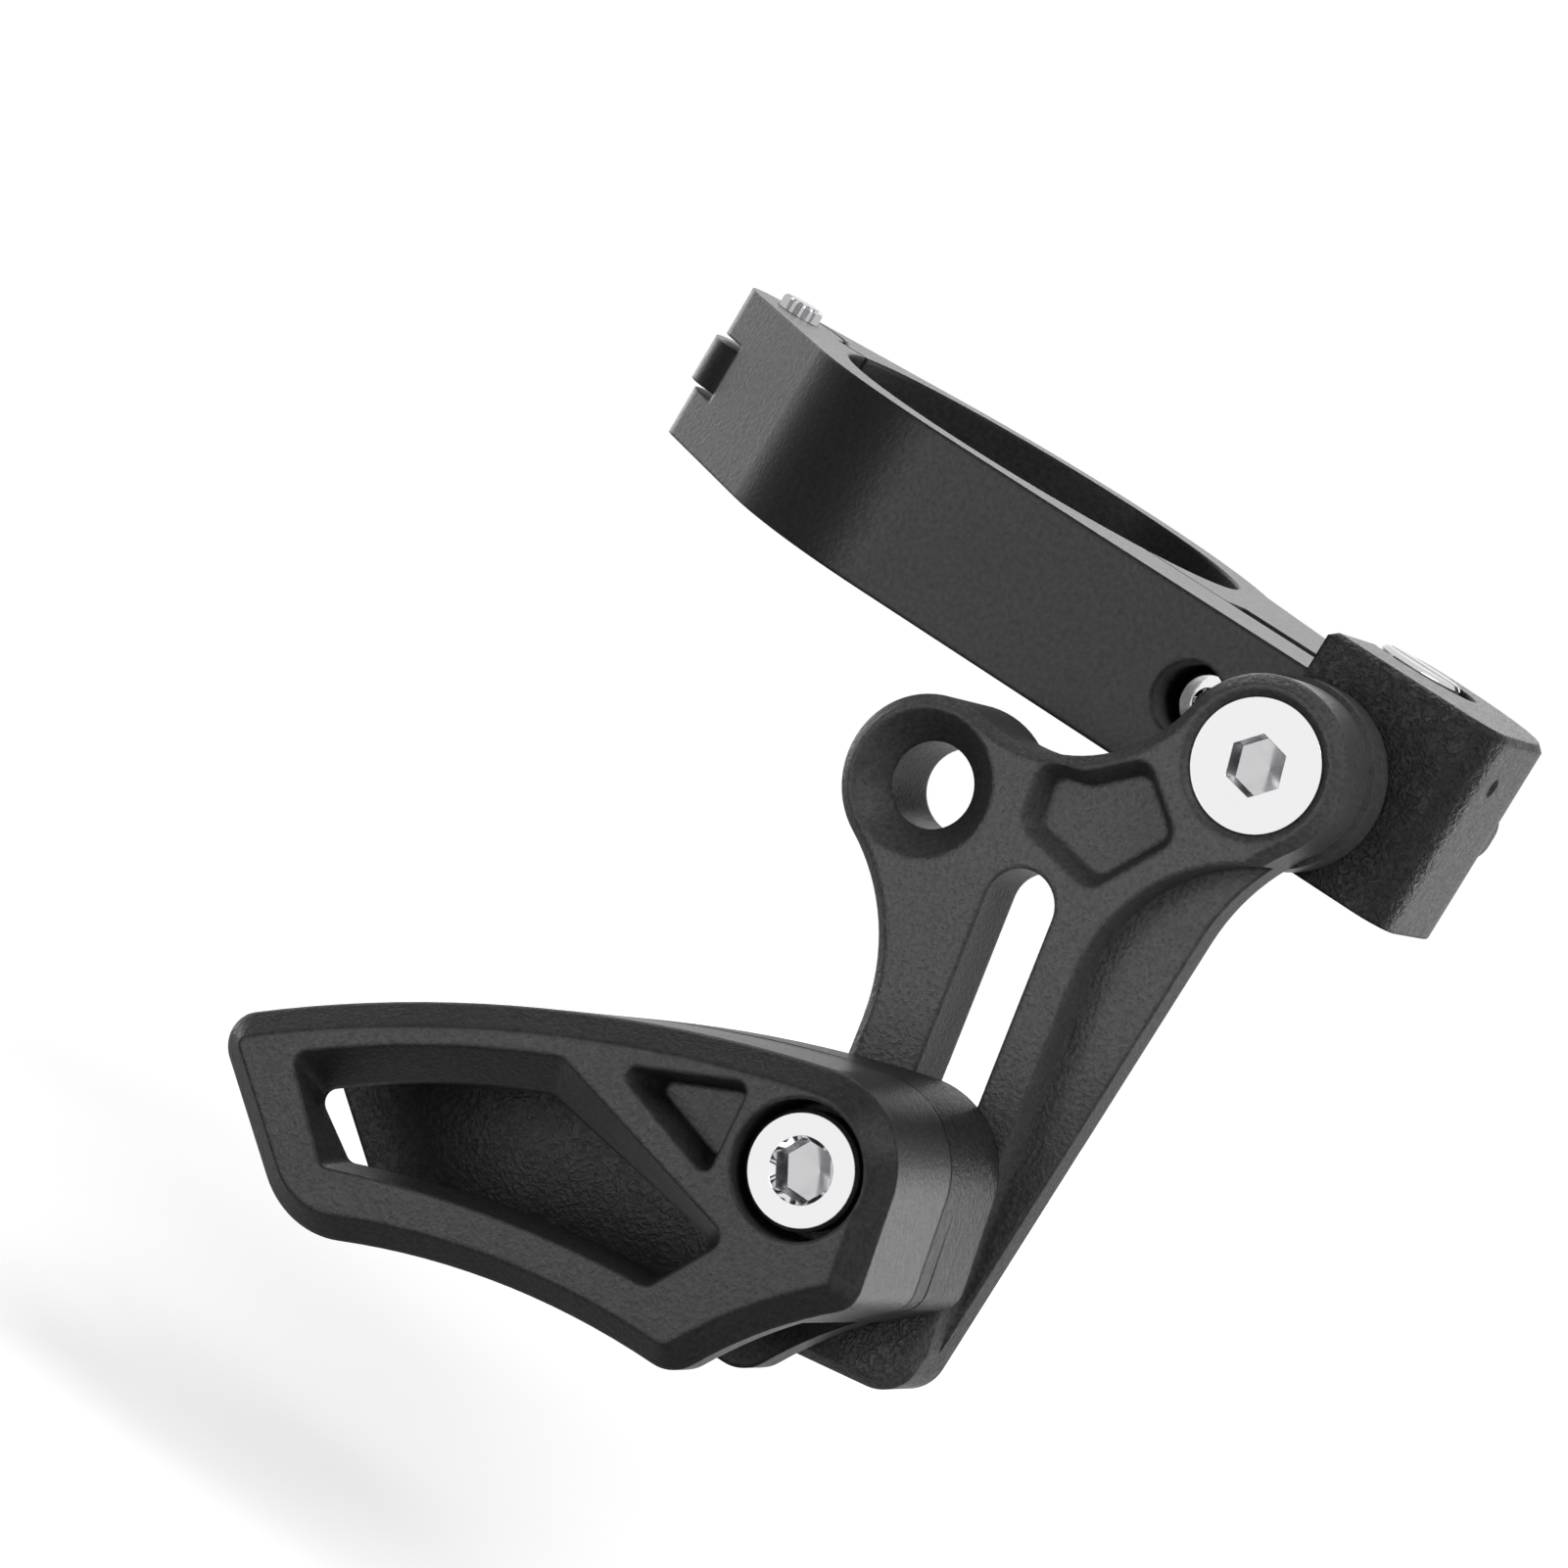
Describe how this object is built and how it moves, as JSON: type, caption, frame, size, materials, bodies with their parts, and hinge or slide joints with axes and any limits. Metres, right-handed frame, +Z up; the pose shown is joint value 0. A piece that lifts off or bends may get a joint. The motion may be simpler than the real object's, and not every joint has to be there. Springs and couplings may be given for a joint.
{
  "type": "bicycle chain guide",
  "caption": "Hinged seat-tube clamp carrying a slotted swinging arm with a sliding, tilting two-plate chain guide that keeps the chain on a single chainring.",
  "frame": {"origin": "centre of the clamp's bore at the middle of the band's height", "axes": "+Z up the seat tube, +X from the hinge to the block, -Y towards the outer side of the bicycle"},
  "size_m": [0.077, 0.0735, 0.0728],
  "materials": {
    "clamp_plastic": "moulded, fine grain",
    "arm_plastic": "moulded, spark grain",
    "guide_plastic": "moulded, leather grain",
    "steel": "bright zinc"
  },
  "bodies": {
    "clamp_front": {"clamp_front_half": "clamp_plastic", "hinge_pin": "steel", "barrel_nut": "steel", "pivot_bolt": "steel"},
    "clamp_rear": {"clamp_rear_half": "clamp_plastic", "clamp_nut": "steel"},
    "screw": {"clamp_screw": "steel"},
    "arm": {"arm": "arm_plastic"},
    "slider": {"guide_bolt": "steel", "slot_nut": "steel"},
    "guide": {"guide_outer_half": "guide_plastic", "guide_inner_half": "guide_plastic"}
  },
  "joints": [
    {"name": "clamp_hinge", "type": "hinge", "parent": "clamp_front", "child": "clamp_rear", "pos_m": [-0.0243, 0, 0], "axis": [0, 0, 1], "range_deg": [0, 60]},
    {"name": "clamp_screw_out", "type": "slide", "parent": "clamp_front", "child": "screw", "axis": [0, -1, 0], "range_m": [0, 0.0262]},
    {"name": "arm_pivot", "type": "hinge", "parent": "clamp_front", "child": "arm", "pos_m": [0.0364, 0, -0.0005], "axis": [0, 1, 0], "range_deg": [-30, 0]},
    {"name": "guide_slide", "type": "slide", "parent": "arm", "child": "slider", "axis": [-0.1736, 0, 0.9848], "range_m": [-0.005, 0.0168]},
    {"name": "guide_tilt", "type": "hinge", "parent": "slider", "child": "guide", "pos_m": [0.03048, 0, -0.03861], "axis": [0, 1, 0], "range_deg": [-20, 20]}
  ],
  "couplings": [
    {"joint": "clamp_screw_out", "follows": "clamp_hinge", "m_per_rad": 0.0249}
  ]
}
